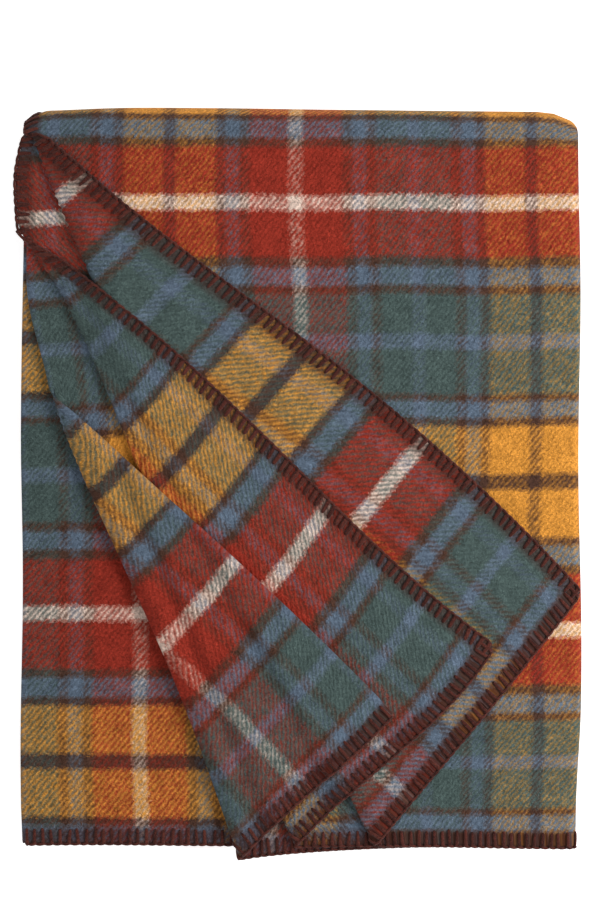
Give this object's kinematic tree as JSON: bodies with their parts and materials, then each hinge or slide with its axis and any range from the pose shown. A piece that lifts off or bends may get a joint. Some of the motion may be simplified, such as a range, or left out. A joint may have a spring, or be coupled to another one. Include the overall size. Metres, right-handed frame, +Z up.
{
  "type": "camp blanket",
  "caption": "Brushed wool twill blanket in a warm tartan check, folded flat with its corners fanned back, edged with blanket stitch.",
  "frame": {"origin": "under the middle of the folded stack, on the surface it lies on", "axes": "+Z up; +Y from the stitched ends of the cloth to the big fold at the head; +X to the smooth folded side"},
  "size_m": [0.334, 0.4464, 0.05],
  "materials": {
    "wool_cloth": "brushed 2/2 wool twill, tartan check of red, mustard, green and blue bands with cream lines",
    "stitch_yarn": "thick plied wool yarn, maroon-brown, matt"
  },
  "bodies": {
    "root": {"third_quarter": "wool_cloth", "second_quarter": "wool_cloth", "first_quarter": "wool_cloth", "foot_fold": "wool_cloth", "inner_head_fold": "wool_cloth", "outer_head_fold": "wool_cloth", "inner_pair_panel": "wool_cloth", "upper_panel": "wool_cloth", "top_panel": "wool_cloth", "top_flap": "wool_cloth", "upper_flap": "wool_cloth", "inner_pair_flap": "wool_cloth", "stitch_first_quarter_end": "stitch_yarn", "stitch_inner_pair_end": "stitch_yarn", "stitch_upper_end": "stitch_yarn", "stitch_top_end": "stitch_yarn", "stitch_top_flap_side": "stitch_yarn", "stitch_top_flap_end": "stitch_yarn", "stitch_upper_flap_side": "stitch_yarn", "stitch_upper_flap_end": "stitch_yarn", "stitch_inner_pair_flap_end": "stitch_yarn", "stitch_side_first_quarter": "stitch_yarn", "stitch_side_second_quarter": "stitch_yarn", "stitch_side_third_quarter": "stitch_yarn"}
  },
  "joints": []
}
